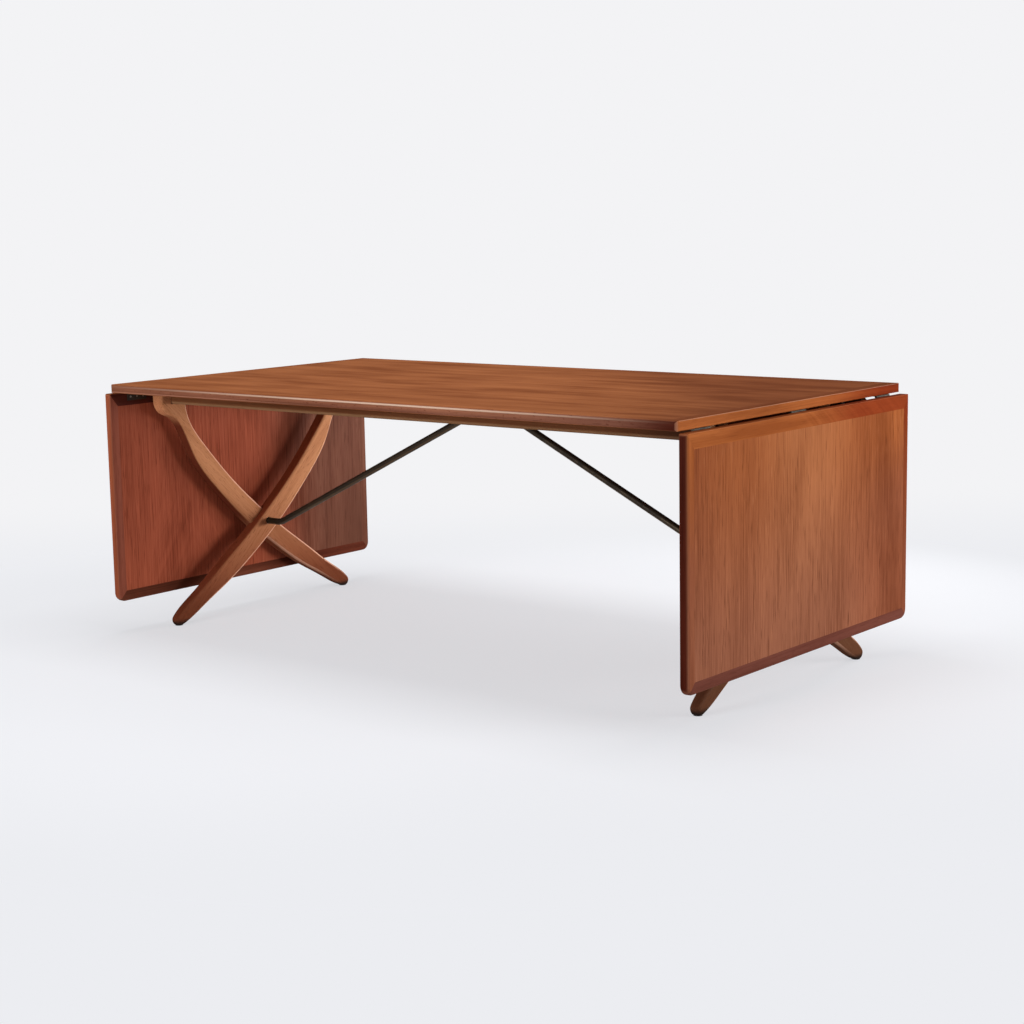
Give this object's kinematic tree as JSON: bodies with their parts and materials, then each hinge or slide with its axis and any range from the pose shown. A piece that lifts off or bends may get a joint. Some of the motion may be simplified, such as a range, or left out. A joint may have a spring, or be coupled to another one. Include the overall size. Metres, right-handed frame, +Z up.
{
  "type": "drop-leaf dining table",
  "caption": "Long wooden dining table with a leaf hanging at each short end, crossed curved legs and bent metal stretcher rods that rise to the middle of the top.",
  "frame": {"origin": "on the floor under the middle of the top", "axes": "+X along the length of the top towards the right leaf, +Y across it towards the rear, +Z up"},
  "size_m": [1.954, 1.045, 0.71],
  "materials": {
    "top_veneer": "satin",
    "top_edge_wood": "satin",
    "leaf_veneer": "satin",
    "leaf_edge_wood": "satin",
    "rail_wood": "satin",
    "leg_wood": "satin",
    "slide_wood": "matte",
    "dowel_wood": "matte",
    "rod_metal": "patinated",
    "hub_metal": "patinated",
    "hinge_metal": "dark satin",
    "pin_metal": "satin",
    "screw_metal": "satin",
    "glide_plastic": "matte"
  },
  "bodies": {
    "frame": {"centre_cross_rail": "rail_wood", "floor_glides": "glide_plastic", "front_rail": "rail_wood", "hub_screws": "screw_metal", "keeper_screws": "screw_metal", "left_cross_rail": "rail_wood", "left_hinge_pins": "pin_metal", "left_hinge_top_plates": "hinge_metal", "left_hinge_top_screws": "screw_metal", "left_inner_leg": "leg_wood", "left_outer_leg": "leg_wood", "left_stretcher_rod": "rod_metal", "leg_head_screws": "screw_metal", "rail_dowels": "dowel_wood", "rear_rail": "rail_wood", "right_cross_rail": "rail_wood", "right_hinge_pins": "pin_metal", "right_hinge_top_plates": "hinge_metal", "right_hinge_top_screws": "screw_metal", "right_inner_leg": "leg_wood", "right_outer_leg": "leg_wood", "right_stretcher_rod": "rod_metal", "slide_keepers": "slide_wood", "stretcher_hub": "hub_metal", "stretcher_nuts": "rod_metal", "stretcher_washers": "rod_metal", "top_dowels": "dowel_wood", "top_front_lipping": "top_edge_wood", "top_left_lipping": "top_edge_wood", "top_panel": "top_veneer", "top_rear_lipping": "top_edge_wood", "top_right_lipping": "top_edge_wood", "top_screws": "screw_metal"},
    "right_leaf": {"right_hinge_leaf_plates": "hinge_metal", "right_hinge_leaf_screws": "screw_metal", "right_leaf_end_lipping": "leaf_edge_wood", "right_leaf_front_lipping": "leaf_edge_wood", "right_leaf_hinge_lipping": "leaf_edge_wood", "right_leaf_panel": "leaf_veneer", "right_leaf_rear_lipping": "leaf_edge_wood"},
    "right_front_support": {"right_front_slide": "slide_wood", "right_front_slide_pin": "dowel_wood"},
    "right_rear_support": {"right_rear_slide": "slide_wood", "right_rear_slide_pin": "dowel_wood"},
    "left_leaf": {"left_hinge_leaf_plates": "hinge_metal", "left_hinge_leaf_screws": "screw_metal", "left_leaf_end_lipping": "leaf_edge_wood", "left_leaf_front_lipping": "leaf_edge_wood", "left_leaf_hinge_lipping": "leaf_edge_wood", "left_leaf_panel": "leaf_veneer", "left_leaf_rear_lipping": "leaf_edge_wood"},
    "left_front_support": {"left_front_slide": "slide_wood", "left_front_slide_pin": "dowel_wood"},
    "left_rear_support": {"left_rear_slide": "slide_wood", "left_rear_slide_pin": "dowel_wood"}
  },
  "joints": [
    {"name": "right_leaf_hinge", "type": "hinge", "parent": "frame", "child": "right_leaf", "pos_m": [0.95, 0, 0.683], "axis": [0, -1, 0], "range_deg": [0, 90]},
    {"name": "left_leaf_hinge", "type": "hinge", "parent": "frame", "child": "left_leaf", "pos_m": [-0.95, 0, 0.683], "axis": [0, 1, 0], "range_deg": [0, 90]},
    {"name": "right_front_support_slide", "type": "slide", "parent": "frame", "child": "right_front_support", "axis": [1, 0, 0], "range_m": [0, 0.058]},
    {"name": "right_rear_support_slide", "type": "slide", "parent": "frame", "child": "right_rear_support", "axis": [1, 0, 0], "range_m": [0, 0.058]},
    {"name": "left_front_support_slide", "type": "slide", "parent": "frame", "child": "left_front_support", "axis": [-1, 0, 0], "range_m": [0, 0.058]},
    {"name": "left_rear_support_slide", "type": "slide", "parent": "frame", "child": "left_rear_support", "axis": [-1, 0, 0], "range_m": [0, 0.058]}
  ]
}
